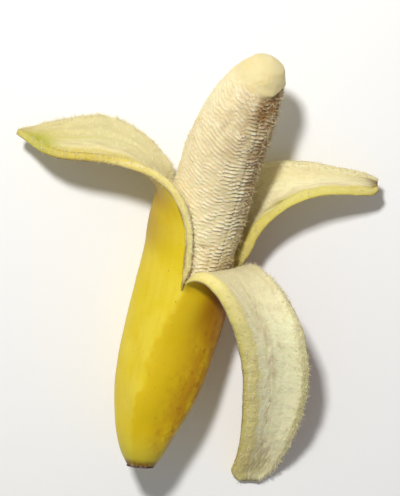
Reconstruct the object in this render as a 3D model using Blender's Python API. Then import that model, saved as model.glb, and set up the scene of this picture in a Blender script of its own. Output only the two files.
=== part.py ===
# Peeled banana, lying on its rounded back with the peel opened in three strips.
# Two solids: the peel, and the flesh that runs down inside it.
# Lengths below are millimetres. The axis runs from the blossom end (0) to the bare tip.

import bmesh
import bpy
import numpy as np

MM = 0.001

# Axis: where it starts, how far it runs, its heading to the right of +Y and its climb
AXIS_START = (-23.0, -84.7, 26.4)
AXIS_LENGTH = 171.6
AXIS_STEP = 0.5
HEADING_AT = (0.0, 15.0, 30.0, 50.0, 75.0, 100.0, 120.0, 140.0, 158.0, 173.0)
HEADING = (5.0, 13.4, 15.2, 14.5, 15.0, 16.3, 15.6, 22.8, 29.5, 25.0)
CLIMB_AT_START = -14.3
CLIMB_PER_MM = 0.212

# Radius of the peel's skin, and of the flesh where it is bare
SKIN_AT = (0.0, 4.4, 10.7, 17.0, 27.0, 38.0, 50.0, 62.0, 90.0)
SKIN_RADIUS = (5.4, 8.2, 10.8, 13.0, 15.9, 17.6, 18.4, 18.8, 18.9)
FLESH_AT = (75.0, 100.0, 120.0, 137.0, 150.0, 158.0, 163.0, 167.0, 170.0, 171.6)
FLESH_RADIUS = (15.3, 15.1, 15.0, 14.3, 12.9, 11.4, 9.7, 7.6, 4.8, 0.0)

# Peel wall, and the five blunt ridges along it that fade where the peel opens
PEEL_THICKNESS = 3.2
TIP_THICKNESS = 2.2
THINNING_POWER = 3
RIDGE_COUNT = 5
RIDGE_HEIGHT = 0.55
RIDGE_TURN_AT_SPLIT = -3.0
RIDGE_TURN_AT_END = -25.0
RIDGE_SWELL_START = 0.15
RIDGE_SWELL_END = 0.9

# The hollow for the flesh inside the peel, and the gap that keeps the two apart
HOLLOW_START = 5.0
HOLLOW_FULL = 15.0
FLESH_GAP = 0.3

# Skin and inner face of a strip stay this far from the bare flesh that they pass
SKIN_CLEARANCE = 2.4
INSIDE_CLEARANCE = 0.45

# Blossom end: a small worn stub with a shallow dimple
STUB_LENGTH = 0.9
STUB_RADIUS = 4.6
DIMPLE_RADIUS = 2.2
DIMPLE_DEPTH = 0.7

# Where the peel splits, and the turn of each split around the axis (0 is the top)
SPLIT_AT = 75.0
FRONT_SPLIT = -4.0
RIGHT_SPLIT = 112.0
BACK_SPLIT = 232.0
NOTCH_TURN = 3.0
NOTCH_LEAD = 5.0

# How far the torn inner layer stops short of the skin at a strip's first and second edge
FRONT_BEVEL = (4.2, 2.0)
RIGHT_BEVEL = (2.8, 1.8)
LEFT_BEVEL = (1.8, 2.4)
BEVEL_RUN = 9.0

# A strip narrower than this many times its two cuts has smaller ones
CUT_ROOM = 3.0

# Each station of a strip: its first edge, its second edge and how deep its trough is
FRONT_STATIONS = (
    ((-5.8, -9.6, 39.0), (16.0, -14.2, 12.8), 6.4),
    ((-3.7, -7.4, 43.0), (18.6, -10.2, 17.0), 1.6),
    ((-0.4, -6.9, 46.5), (22.3, -8.4, 23.0), 0.8),
    ((3.3, -8.7, 48.5), (26.5, -9.6, 29.0), 1.8),
    ((7.4, -13.5, 49.0), (31.8, -14.0, 33.5), 3.3),
    ((10.8, -21.1, 47.5), (36.3, -20.7, 36.0), 4.2),
    ((13.9, -32.0, 43.0), (40.5, -32.3, 36.0), 4.8),
    ((16.0, -44.7, 36.5), (42.2, -46.3, 31.5), 4.8),
    ((16.2, -59.9, 28.0), (41.2, -61.6, 24.5), 4.4),
    ((15.8, -75.2, 18.5), (37.4, -77.0, 16.0), 3.6),
    ((14.3, -86.9, 10.0), (33.4, -87.6, 8.6), 2.8),
    ((12.8, -95.8, 3.6), (28.6, -95.6, 3.2), 1.9),
    ((14.6, -98.77, 1.5), (24.6, -99.27, 1.2), 1.0),
)
RIGHT_STATIONS = (
    ((15.0, -10.0, 13.4), (-16.0, 1.0, 5.3), 8.0),
    ((19.1, -3.2, 17.0), (-9.5, 10.5, 3.2), 7.0),
    ((22.8, 4.7, 20.0), (-1.0, 18.5, 1.8), 6.5),
    ((27.3, 11.0, 22.0), (10.5, 25.9, 1.8), 7.0),
    ((33.5, 16.3, 23.7), (21.5, 30.5, 4.0), 6.0),
    ((40.8, 19.9, 24.1), (33.0, 32.7, 7.5), 5.0),
    ((48.5, 21.3, 22.8), (43.6, 32.1, 9.3), 4.2),
    ((56.3, 20.9, 19.8), (52.5, 30.5, 9.5), 3.4),
    ((63.0, 20.0, 16.0), (60.6, 28.8, 9.5), 2.6),
    ((67.2, 19.9, 13.4), (66.1, 27.2, 9.5), 1.8),
    ((69.0, 21.1, 12.2), (68.8, 25.6, 9.8), 1.0),
)
LEFT_STATIONS = (
    ((-18.2, -1.0, 6.2), (-6.0, -4.0, 37.1), 9.6),
    ((-15.8, 8.0, 6.0), (-5.3, 5.0, 37.6), 9.4),
    ((-13.2, 17.0, 5.8), (-5.8, 13.0, 38.0), 9.0),
    ((-11.0, 24.0, 5.3), (-7.6, 19.5, 38.1), 8.0),
    ((-12.0, 30.5, 4.2), (-11.5, 25.6, 37.3), 6.4),
    ((-16.0, 35.0, 3.0), (-16.8, 29.9, 36.0), 4.6),
    ((-21.5, 40.3, 1.6), (-24.0, 32.9, 34.2), 3.8),
    ((-28.5, 45.4, 0.2), (-32.0, 34.8, 32.2), 4.0),
    ((-37.0, 48.7, 0.0), (-40.5, 35.7, 30.3), 4.4),
    ((-46.0, 48.9, 1.0), (-48.5, 36.0, 28.0), 4.4),
    ((-54.0, 47.8, 2.8), (-55.5, 36.7, 25.0), 3.6),
    ((-61.0, 47.0, 6.0), (-61.8, 38.9, 20.8), 2.6),
    ((-66.5, 45.8, 9.2), (-67.1, 41.9, 16.0), 1.3),
    ((-69.9, 45.0, 11.6), (-70.3, 43.6, 13.8), 0.4),
)

# Mesh spacing
TUBE_ROWS = 20
CELLS_PER_STRIP = 11
ROWS_PER_STATION = 3
BARE_ROWS = 26
TIP_CROWDING = 1.7
SKIN_CROWDING = 0.35
HOLLOW_CROWDING = 0.7

# Middle of the footprint, which becomes the origin
FOOTPRINT_MIDDLE = (-0.65, -11.31)

# Colours and roughness
PEEL_COLOUR = (0.84, 0.62, 0.06)
PEEL_ROUGHNESS = 0.5
FLESH_COLOUR = (0.86, 0.76, 0.52)
FLESH_ROUGHNESS = 0.6


def smooth_curve(knots, values, at):
    """Smooth curve through the values, with slopes that never overshoot steep steps."""
    knots = np.asarray(knots, float)
    values = np.asarray(values, float)
    at = np.clip(at, knots[0], knots[-1])
    gaps = np.diff(knots)
    weights = gaps.reshape((-1,) + (1,) * (values.ndim - 1))
    slopes = np.diff(values, axis=0) / weights
    inner = (slopes[:-1] * weights[1:] + slopes[1:] * weights[:-1]) / (weights[1:] + weights[:-1])
    tangents = np.concatenate([slopes[:1], inner, slopes[-1:]])
    cell = np.clip(np.searchsorted(knots, at, side="right") - 1, 0, len(gaps) - 1)
    part = (at - knots[cell]) / gaps[cell]
    shape = np.shape(part) + (1,) * (values.ndim - 1)
    part = np.reshape(part, shape)
    width = np.reshape(gaps[cell], shape)
    rise = part * part * (3.0 - 2.0 * part)
    leave = part * (1.0 - part) ** 2
    arrive = part * part * (part - 1.0)
    straight = values[cell] * (1.0 - rise) + values[cell + 1] * rise
    return straight + width * (tangents[cell] * leave + tangents[cell + 1] * arrive)


def axis_angles(along):
    heading = np.radians(smooth_curve(HEADING_AT, HEADING, along))
    climb = np.radians(CLIMB_AT_START + CLIMB_PER_MM * along)
    return heading, climb


def axis_line():
    """Centre points of the axis, one every step, by adding up its directions."""
    along = np.arange(0.0, AXIS_LENGTH + AXIS_STEP, AXIS_STEP)
    heading, climb = axis_angles(along + AXIS_STEP / 2.0)
    step = np.stack(
        [np.cos(climb) * np.sin(heading), np.cos(climb) * np.cos(heading), np.sin(climb)], -1
    )
    points = np.cumsum(step * AXIS_STEP, axis=0)
    points = np.vstack([np.zeros(3), points[:-1]]) + np.array(AXIS_START)
    return along, points


LINE_ALONG, LINE_POINTS = axis_line()


def tube_ring(along, turns, radius):
    """Points around the axis at one place; a turn of 0 is the top and 90 the right side."""
    centre = np.array([np.interp(along, LINE_ALONG, LINE_POINTS[:, i]) for i in range(3)])
    heading, climb = axis_angles(along)
    side = np.array([np.cos(heading), -np.sin(heading), 0.0])
    top = np.array([-np.sin(climb) * np.sin(heading), -np.sin(climb) * np.cos(heading), np.cos(climb)])
    angle = np.radians(turns)
    ring = np.outer(np.sin(angle), side) + np.outer(np.cos(angle), top)
    return centre + ring * np.reshape(radius, (-1, 1))


def skin_radius(along, turns):
    """Radius of the skin, raised along the five ridges."""
    plain = smooth_curve(SKIN_AT, SKIN_RADIUS, along)
    share = np.clip(along / SPLIT_AT, 0.0, 1.0)
    first = RIDGE_TURN_AT_END + (RIDGE_TURN_AT_SPLIT - RIDGE_TURN_AT_END) * share
    wave = np.cos(np.radians((np.asarray(turns) - first) * RIDGE_COUNT))
    swell = RIDGE_SWELL_START + (RIDGE_SWELL_END - RIDGE_SWELL_START) * share
    return plain + RIDGE_HEIGHT * np.sin(np.pi * swell) * wave / 2.0


def hollow_radius(along, turns):
    """Radius of the hollow inside the peel, closing in a round bottom."""
    full = smooth_curve(SKIN_AT, SKIN_RADIUS, along) - PEEL_THICKNESS
    short = np.clip((HOLLOW_FULL - along) / (HOLLOW_FULL - HOLLOW_START), 0.0, 1.0)
    return full * np.sqrt(1.0 - short ** 2) * np.ones(len(turns))


def hollow_places():
    """Where the rows of the hollow lie along the axis, closest together at its bottom."""
    share = np.linspace(0.0, 1.0, TUBE_ROWS + 1)[1:]
    crowded = (1.0 - HOLLOW_CROWDING) * share + HOLLOW_CROWDING * share ** 2
    return HOLLOW_START + (SPLIT_AT - HOLLOW_START) * crowded


def on_floor(points):
    """What would sink below the surface it lies on is flat against it."""
    points[..., 2] = np.maximum(points[..., 2], 0.0)
    return points


def clear_of_flesh(points, clearance):
    """Points that would come too near the bare flesh are moved straight out from its axis."""
    flat = points.reshape(-1, 3)
    away = flat[:, None, :] - LINE_POINTS[None, :, :]
    distance = np.linalg.norm(away, axis=2)
    nearest = np.argmin(distance, axis=1)
    picked = np.arange(len(flat))
    least = smooth_curve(FLESH_AT, FLESH_RADIUS, LINE_ALONG[nearest]) + clearance
    near = distance[picked, nearest]
    grown = np.maximum(near, least) / near
    moved = LINE_POINTS[nearest] + away[picked, nearest] * grown[:, None]
    return moved.reshape(points.shape)


def ring_turns():
    """Turns of the columns around the whole ring, from the front split onwards."""
    splits = (FRONT_SPLIT, RIGHT_SPLIT, BACK_SPLIT, FRONT_SPLIT + 360.0)
    parts = [
        np.linspace(splits[i], splits[i + 1], CELLS_PER_STRIP, endpoint=False) for i in range(3)
    ]
    return np.concatenate(parts)


def arc_row(first, second, depth, ahead, share):
    """Points of a strip's cross-section: an arc from edge to edge, bulging to the skin side."""
    first = np.array(first)
    second = np.array(second)
    across = second - first
    chord = np.linalg.norm(across)
    across = across / chord
    out = np.cross(across, ahead)
    out = out / np.linalg.norm(out)
    radius = (chord ** 2 / 4.0 + depth ** 2) / (2.0 * depth)
    half = np.arctan2(chord / 2.0, radius - depth)
    angle = -half + 2.0 * half * share
    middle = (first + second) / 2.0
    swing = np.outer(np.sin(angle), across) * radius
    rise = np.outer(np.cos(angle) * radius - radius + depth, out)
    return middle + swing + rise


def strip_skin(stations, from_turn, to_turn, share):
    """Rows of skin points of one strip, from the split to its tip, and the way along it."""
    middles = np.array([(np.array(first) + np.array(second)) / 2.0 for first, second, _ in stations])
    lead = SPLIT_AT - NOTCH_LEAD
    wide = np.linspace(from_turn - NOTCH_TURN, to_turn + NOTCH_TURN, len(share))
    turns = from_turn + (to_turn - from_turn) * share
    before = tube_ring(lead, wide, skin_radius(lead, turns))
    root = tube_ring(SPLIT_AT, turns, skin_radius(SPLIT_AT, turns))
    rows = [before, root]
    path = np.vstack([root.mean(axis=0), middles])
    for index, (first, second, depth) in enumerate(stations):
        last = min(index + 2, len(path) - 1)
        ahead = path[last] - path[index]
        rows.append(arc_row(first, second, depth, ahead / np.linalg.norm(ahead), share))
    rows = np.array(rows)
    gaps = np.linalg.norm(np.diff(rows[1:].mean(axis=1), axis=0), axis=1)
    knots = np.concatenate([[-NOTCH_LEAD, 0.0], np.cumsum(gaps)])
    places = np.concatenate(
        [
            knots[i + 1] + (knots[i + 2] - knots[i + 1]) * np.arange(ROWS_PER_STATION) / ROWS_PER_STATION
            for i in range(len(stations))
        ]
    )
    places = np.append(places, knots[-1])
    return on_floor(clear_of_flesh(smooth_curve(knots, rows, places), SKIN_CLEARANCE)), places


def strip_inside(skin, places, share, bevels):
    """The inner face: the skin moved in by the wall and held back from both edges."""
    along = np.gradient(skin, axis=0)
    across = np.gradient(skin, axis=1)
    out = np.cross(across, along)
    out = out / np.linalg.norm(out, axis=2, keepdims=True)
    reach = places / places[-1]
    wall = PEEL_THICKNESS + (TIP_THICKNESS - PEEL_THICKNESS) * reach ** THINNING_POWER
    inside = clear_of_flesh(skin - out * wall[:, None, None], INSIDE_CLEARANCE)
    rows = []
    for index in range(len(skin)):
        steps = np.linalg.norm(np.diff(inside[index], axis=0), axis=1)
        width = np.concatenate([[0.0], np.cumsum(steps)])
        grown = min(places[index] / BEVEL_RUN, 1.0)
        cut = np.array(bevels) * grown * min(1.0, width[-1] / (CUT_ROOM * sum(bevels)))
        wanted = cut[0] + (width[-1] - cut[0] - cut[1]) * share
        rows.append(np.stack([np.interp(wanted, width, inside[index][:, i]) for i in range(3)], -1))
    return np.array(rows)


def build_peel():
    """Tube with its hollow, the three strips and their cut edges, as one closed shape."""
    mesh = bmesh.new()
    turns = ring_turns()
    columns = len(turns)
    share = np.linspace(0.0, 1.0, CELLS_PER_STRIP + 1)

    def add_row(points):
        return [mesh.verts.new(point) for point in on_floor(points)]

    def bridge(lower, upper, flip):
        count = min(len(lower), len(upper))
        for i in range(count - 1):
            quad = [lower[i], lower[i + 1], upper[i + 1], upper[i]]
            mesh.faces.new(quad[::-1] if flip else quad)

    def closed(row):
        return row + row[:1]

    def fan(centre, row, flip):
        for i in range(len(row)):
            corner = [centre, row[i], row[(i + 1) % len(row)]]
            mesh.faces.new(corner[::-1] if flip else corner)

    # Skin of the tube, from the dimple in the blossom end up to the splits
    share_up = np.linspace(0.0, 1.0, TUBE_ROWS)
    outer_at = SPLIT_AT * (SKIN_CROWDING * share_up ** 2 + (1.0 - SKIN_CROWDING) * share_up)
    outer_rows = [
        add_row(tube_ring(0.0, turns, np.full(columns, DIMPLE_RADIUS))),
        add_row(tube_ring(0.0, turns, np.full(columns, STUB_RADIUS)) - end_way() * STUB_LENGTH),
    ]
    outer_rows += [add_row(tube_ring(at, turns, skin_radius(at, turns))) for at in outer_at]
    for lower, upper in zip(outer_rows[:-1], outer_rows[1:]):
        bridge(closed(lower), closed(upper), False)
    pit = mesh.verts.new(tube_ring(0.0, [0.0], [0.0])[0] + end_way() * DIMPLE_DEPTH)
    fan(pit, outer_rows[0], True)

    # Wall of the hollow, from its round bottom up to the splits
    inner_rows = [
        add_row(tube_ring(at, turns, hollow_radius(at, turns))) for at in hollow_places()
    ]
    for lower, upper in zip(inner_rows[:-1], inner_rows[1:]):
        bridge(closed(lower), closed(upper), True)
    bottom = mesh.verts.new(tube_ring(HOLLOW_START, [0.0], [0.0])[0])
    fan(bottom, inner_rows[0], False)

    # The strips
    strips = (
        (FRONT_STATIONS, FRONT_SPLIT, RIGHT_SPLIT, FRONT_BEVEL),
        (RIGHT_STATIONS, RIGHT_SPLIT, BACK_SPLIT, RIGHT_BEVEL),
        (LEFT_STATIONS, BACK_SPLIT, FRONT_SPLIT + 360.0, LEFT_BEVEL),
    )
    for number, (stations, from_turn, to_turn, bevels) in enumerate(strips):
        skin, places = strip_skin(stations, from_turn, to_turn, share)
        inside = strip_inside(skin, places, share, bevels)
        first = number * CELLS_PER_STRIP
        ids = [(first + i) % columns for i in range(CELLS_PER_STRIP + 1)]
        skin_rows = [[outer_rows[-1][i] for i in ids]] + [add_row(row) for row in skin[1:]]
        inside_rows = [[inner_rows[-1][i] for i in ids]] + [add_row(row) for row in inside[1:]]
        for k in range(len(skin_rows) - 1):
            bridge(skin_rows[k], skin_rows[k + 1], False)
            bridge(inside_rows[k], inside_rows[k + 1], True)
            for edge, flip in ((0, True), (-1, False)):
                low = [skin_rows[k][edge], inside_rows[k][edge]]
                high = [skin_rows[k + 1][edge], inside_rows[k + 1][edge]]
                bridge(low, high, flip)
        bridge(skin_rows[-1], inside_rows[-1], False)
    return mesh


def end_way():
    """Direction of the axis at the blossom end."""
    way = LINE_POINTS[1] - LINE_POINTS[0]
    return way / np.linalg.norm(way)


def flesh_rows(turns):
    """Rings of the flesh: a gap inside the hollow first, then bare up to the tip."""
    rows = []
    for at in hollow_places():
        short = np.clip((HOLLOW_FULL - at) / (HOLLOW_FULL - HOLLOW_START), 0.0, 1.0)
        radius = hollow_radius(at, turns) - FLESH_GAP
        rows.append(tube_ring(at + FLESH_GAP * short, turns, radius))
    share = np.linspace(0.0, 1.0, BARE_ROWS + 1)[1:]
    rounding = 1.0 - (1.0 - share) ** TIP_CROWDING
    for at in SPLIT_AT + (AXIS_LENGTH - SPLIT_AT) * rounding[:-1]:
        bare = smooth_curve(FLESH_AT, FLESH_RADIUS, at)
        rows.append(tube_ring(at, turns, np.full(len(turns), bare)))
    return rows


def build_flesh():
    """The flesh: a long round body that fills the hollow and stands bare above it."""
    mesh = bmesh.new()
    turns = ring_turns()
    count = len(turns)
    rows = [[mesh.verts.new(point) for point in ring] for ring in flesh_rows(turns)]
    for lower, upper in zip(rows[:-1], rows[1:]):
        for i in range(count):
            after = (i + 1) % count
            mesh.faces.new([lower[i], lower[after], upper[after], upper[i]])
    start = mesh.verts.new(tube_ring(HOLLOW_START + FLESH_GAP, [0.0], [0.0])[0])
    tip = mesh.verts.new(tube_ring(AXIS_LENGTH, [0.0], [0.0])[0])
    for i in range(count):
        after = (i + 1) % count
        mesh.faces.new([start, rows[0][after], rows[0][i]])
        mesh.faces.new([tip, rows[-1][i], rows[-1][after]])
    return mesh


def make_material(name, colour, roughness):
    material = bpy.data.materials.new(name)
    material.use_nodes = True
    shader = material.node_tree.nodes["Principled BSDF"]
    shader.inputs["Base Color"].default_value = (*colour, 1.0)
    shader.inputs["Roughness"].default_value = roughness
    shader.inputs["Metallic"].default_value = 0.0
    return material


def make_object(name, mesh, material):
    """Puts a finished shape into the scene at its real size, about the footprint's middle."""
    for vertex in mesh.verts:
        vertex.co.x = (vertex.co.x - FOOTPRINT_MIDDLE[0]) * MM
        vertex.co.y = (vertex.co.y - FOOTPRINT_MIDDLE[1]) * MM
        vertex.co.z = vertex.co.z * MM
    bmesh.ops.triangulate(mesh, faces=mesh.faces[:])
    data = bpy.data.meshes.new(name)
    mesh.to_mesh(data)
    mesh.free()
    data.shade_smooth()
    data.materials.append(material)
    made = bpy.data.objects.new(name, data)
    bpy.context.scene.collection.objects.link(made)
    return made


def main():
    for old in list(bpy.data.objects):
        bpy.data.objects.remove(old, do_unlink=True)
    peel_material = make_material("peel", PEEL_COLOUR, PEEL_ROUGHNESS)
    flesh_material = make_material("flesh", FLESH_COLOUR, FLESH_ROUGHNESS)
    make_object("peel", build_peel(), peel_material)
    make_object("flesh", build_flesh(), flesh_material)


main()
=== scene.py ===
import bpy
import numpy as np
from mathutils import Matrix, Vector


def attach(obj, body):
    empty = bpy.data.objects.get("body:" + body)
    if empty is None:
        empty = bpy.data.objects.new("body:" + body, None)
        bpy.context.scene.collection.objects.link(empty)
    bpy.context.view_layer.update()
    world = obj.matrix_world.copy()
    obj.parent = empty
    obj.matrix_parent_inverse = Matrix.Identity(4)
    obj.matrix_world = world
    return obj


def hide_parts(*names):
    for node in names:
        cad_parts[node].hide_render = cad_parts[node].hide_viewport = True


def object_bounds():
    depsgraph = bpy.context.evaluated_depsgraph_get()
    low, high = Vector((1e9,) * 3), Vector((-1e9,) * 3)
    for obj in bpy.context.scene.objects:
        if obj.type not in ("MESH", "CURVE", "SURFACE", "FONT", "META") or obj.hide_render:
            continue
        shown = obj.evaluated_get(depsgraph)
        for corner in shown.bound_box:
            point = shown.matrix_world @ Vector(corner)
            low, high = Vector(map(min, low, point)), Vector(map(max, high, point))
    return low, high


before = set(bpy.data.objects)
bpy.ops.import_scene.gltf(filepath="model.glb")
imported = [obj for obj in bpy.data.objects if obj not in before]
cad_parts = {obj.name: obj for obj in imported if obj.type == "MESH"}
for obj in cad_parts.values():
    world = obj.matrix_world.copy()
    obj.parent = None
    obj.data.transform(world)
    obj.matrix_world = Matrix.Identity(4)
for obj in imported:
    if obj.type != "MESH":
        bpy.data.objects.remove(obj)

# A peeled banana lying on its back: the peel with its three strips, the flesh, and their fibres.
# The form is in mm, in the solids' own frame; a turn of 0 is the top of the fruit, 90 its right side.
mm = 0.001
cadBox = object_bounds()

fruit = {
    "axisStart": (-23.0, -84.7, 26.4),
    "axisLength": 171.6,
    "headingAt": (0.0, 15.0, 30.0, 50.0, 75.0, 100.0, 120.0, 140.0, 158.0, 173.0),
    "heading": (5.0, 13.4, 15.2, 14.5, 15.0, 16.3, 15.6, 22.8, 29.5, 25.0),
    "climbAtStart": -14.3,
    "climbPerMm": 0.212,
    "footprintMiddle": (-0.65, -11.31),
    "skinAt": (0.0, 4.4, 10.7, 17.0, 27.0, 38.0, 50.0, 62.0, 90.0),
    "skinRadius": (5.4, 8.2, 10.8, 13.0, 15.9, 17.6, 18.4, 18.8, 18.9),
    "fleshAt": (75.0, 100.0, 120.0, 137.0, 150.0, 158.0, 163.0, 167.0, 170.0, 171.6),
    "fleshRadius": (15.3, 15.1, 15.0, 14.3, 12.9, 11.4, 9.7, 7.6, 4.8, 0.0),
    "peelThickness": 3.2,
    "tipThickness": 2.2,
    "hollowStart": 5.0,
    "hollowFull": 15.0,
    "fleshGap": 0.3,
    "splitAt": 75.0,
}


# Small helpers

def smoothStep(low, high, value):   # from 0 at low to 1 at high; it falls where low is the larger
    part = np.clip((value - low) / (high - low), 0.0, 1.0)
    return part * part * (3.0 - 2.0 * part)


def unit(vectors):
    return vectors / np.maximum(np.linalg.norm(vectors, axis=-1, keepdims=True), 1e-9)


def smoothCurve(knots, values, at):   # a smooth curve through the values
    knots = np.asarray(knots, float)
    values = np.asarray(values, float)
    at = np.clip(at, knots[0], knots[-1])
    gaps = np.diff(knots)
    weights = gaps.reshape((-1,) + (1,) * (values.ndim - 1))
    slopes = np.diff(values, axis=0) / weights
    inner = (slopes[:-1] * weights[1:] + slopes[1:] * weights[:-1]) / (weights[1:] + weights[:-1])
    tangents = np.concatenate([slopes[:1], inner, slopes[-1:]])
    cell = np.clip(np.searchsorted(knots, at, side="right") - 1, 0, len(gaps) - 1)
    part = (at - knots[cell]) / gaps[cell]
    shape = np.shape(part) + (1,) * (values.ndim - 1)
    part = np.reshape(part, shape)
    width = np.reshape(gaps[cell], shape)
    rise = smoothStep(0.0, 1.0, part)
    leave = part * (1.0 - part) ** 2
    arrive = part * part * (part - 1.0)
    straight = values[cell] * (1.0 - rise) + values[cell + 1] * rise
    return straight + width * (tangents[cell] * leave + tangents[cell + 1] * arrive)


# Noises round the fruit: their seed, their cells round it, and their step along it in mm
roundNoises = {
    "lumps": (3, 11, 13.0), "dents": (4, 26, 6.0),
    "fibres": (11, 260, 8.0), "strings": (12, 110, 14.0), "pithLumps": (13, 46, 4.0),
    "wrinkles": (14, 12, 1.5), "crumbs": (15, 200, 1.3), "flakes": (16, 150, 1.7),
    "blossomRim": (21, 9, 1.0), "blossomNicks": (22, 31, 1.0), "seams": (23, 5, 3.0),
    "ripening": (24, 60, 2.2),
    "skinTear": (31, 7, 5.0), "skinNicks": (41, 7, 1.5), "pithTear": (51, 7, 4.2), "pithNicks": (61, 7, 1.5),
    "secondEdge": (71, 60, 1.3), "firstEdge": (81, 60, 1.3), "rimLine": (91, 7, 3.0),
}


def roundNoise(name, turns, along, number=0):   # smooth noise from -1 to 1 that closes round the fruit
    seed, cells, step = roundNoises[name]
    rows = 256
    table = np.random.default_rng(seed + number).uniform(-1.0, 1.0, (cells, rows))
    x, y = np.broadcast_arrays(np.asarray(turns, float) / 360.0 * cells, np.asarray(along, float) / step)
    left = np.floor(x).astype(int)
    low = np.floor(y).astype(int)
    u = smoothStep(0.0, 1.0, x - left)
    v = smoothStep(0.0, 1.0, y - low)

    def corner(i, j):
        return table[(left + i) % cells, (low + j) % rows]

    bottom = corner(0, 0) * (1.0 - u) + corner(1, 0) * u
    top = corner(0, 1) * (1.0 - u) + corner(1, 1) * u
    return bottom * (1.0 - v) + top * v


def linear(hexColour):   # sRGB hex to the linear colour that a shader takes
    parts = np.array([int(hexColour[i:i + 2], 16) / 255.0 for i in (1, 3, 5)])
    parts = np.where(parts <= 0.04045, parts / 12.92, ((parts + 0.055) / 1.055) ** 2.4)
    return (*parts.tolist(), 1.0)


def addNode(tree, kind, settings=None, inputs=None):   # one node with its settings, values, colours and links
    node = tree.nodes.new(kind)
    for name, value in (settings or {}).items():
        setattr(node, name, value)
    for key, value in (inputs or {}).items():
        if isinstance(value, bpy.types.NodeSocket):
            tree.links.new(value, node.inputs[key])
        elif key != "Name" and isinstance(value, str):
            node.inputs[key].default_value = linear(value)
        else:
            node.inputs[key].default_value = value
    return node


# The axis of the fruit and the rings round it

def axisAngles(along):
    heading = np.radians(smoothCurve(fruit["headingAt"], fruit["heading"], along))
    climb = np.radians(fruit["climbAtStart"] + fruit["climbPerMm"] * np.asarray(along, float))
    return heading, climb


def axisLine():
    step = 0.5
    along = np.arange(0.0, fruit["axisLength"] + step, step)
    heading, climb = axisAngles(along + step / 2.0)
    ways = np.stack([np.cos(climb) * np.sin(heading), np.cos(climb) * np.cos(heading), np.sin(climb)], -1)
    points = np.cumsum(ways * step, axis=0)
    return along, np.vstack([np.zeros(3), points[:-1]]) + np.array(fruit["axisStart"]), ways[0]


axisAlong, axisPoints, endWay = axisLine()


def tubePoints(along, turns, radius):
    along, turns, radius = np.broadcast_arrays(np.asarray(along, float), np.asarray(turns, float), radius)
    centre = np.stack([np.interp(along, axisAlong, axisPoints[:, i]) for i in range(3)], -1)
    heading, climb = axisAngles(along)
    side = np.stack([np.cos(heading), -np.sin(heading), 0.0 * heading], -1)
    top = np.stack([-np.sin(climb) * np.sin(heading), -np.sin(climb) * np.cos(heading), np.cos(climb)], -1)
    angle = np.radians(turns)[..., None]
    return centre + (np.sin(angle) * side + np.cos(angle) * top) * radius[..., None]


def hollowRadius(along):
    full = smoothCurve(fruit["skinAt"], fruit["skinRadius"], along) - fruit["peelThickness"]
    return full * np.sqrt(1.0 - fromHollowEnd(along) ** 2)


def fromHollowEnd(along):   # 1 at the hollow's closed end, 0 from where it has its full width
    reach = fruit["hollowFull"] - fruit["hollowStart"]
    return np.clip((fruit["hollowFull"] - along) / reach, 0.0, 1.0)


def easedPlaces(start, end, count):   # places along the axis that lie closer together at the start
    share = np.linspace(0.0, 1.0, count + 1)[1:]
    return (start + (end - start) * (0.3 * share + 0.7 * share ** 2))[:, None]


def clearOfFlesh(points, clearance):   # what comes too near the bare flesh is moved straight out
    flat = points.reshape(-1, 3)
    away = flat[:, None, :] - axisPoints[None, :, :]
    distance = np.linalg.norm(away, axis=2)
    nearest = np.argmin(distance, axis=1)
    picked = np.arange(len(flat))
    least = smoothCurve(fruit["fleshAt"], fruit["fleshRadius"], axisAlong[nearest]) + clearance
    near = distance[picked, nearest]
    moved = axisPoints[nearest] + away[picked, nearest] * (np.maximum(near, least) / near)[:, None]
    return moved.reshape(points.shape)


def insideBox(points):   # held inside the solids' own box
    return np.clip(points, np.array(cadBox[0]), np.array(cadBox[1]))


def addObject(name, data):
    made = bpy.data.objects.new(name, data)
    bpy.context.scene.collection.objects.link(made)
    return made


def makePiece(name, points, faces, materials, faceMaterials, attributes):   # its points are in mm
    mesh = bpy.data.meshes.new(name)
    placed = (points - np.array([*fruit["footprintMiddle"], 0.0])) * mm
    mesh.from_pydata(insideBox(placed).tolist(), [], faces)
    for material in materials:
        mesh.materials.append(material)
    if faceMaterials is not None:
        mesh.polygons.foreach_set("material_index", faceMaterials)
    for key, values in attributes.items():
        kind, field = ("FLOAT_VECTOR", "vector") if values.ndim == 2 else ("FLOAT", "value")
        mesh.attributes.new(key, kind, "POINT").data.foreach_set(field, values.ravel())
    mesh.shade_smooth()
    return addObject(name, mesh)


def ringQuads(rows):   # the faces between each closed row of point numbers and the next
    rows = np.array(rows)
    ahead = np.roll(rows, -1, axis=1)
    return np.stack([rows[:-1], ahead[:-1], ahead[1:], rows[1:]], -1).reshape(-1, 4)


def fan(middle, ring):   # the triangles between a pole and the ring round it
    return np.stack([np.full(len(ring), middle), np.roll(ring, -1), ring], -1)


# The peel: skin, torn edges and pith as one closed mesh.
# For a strip, wavers are how unevenly the skin tore at its two edges, in mm, and pale is how much of
# each torn edge is cream fibre and not yellow rind. A lip is pith that reaches past the skin at the
# second edge: how far from the split, and how many mm. A crease is where it runs in mm from the split,
# its shares across, its width as a share, its depth in mm and how high the flakes in it stand.

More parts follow.
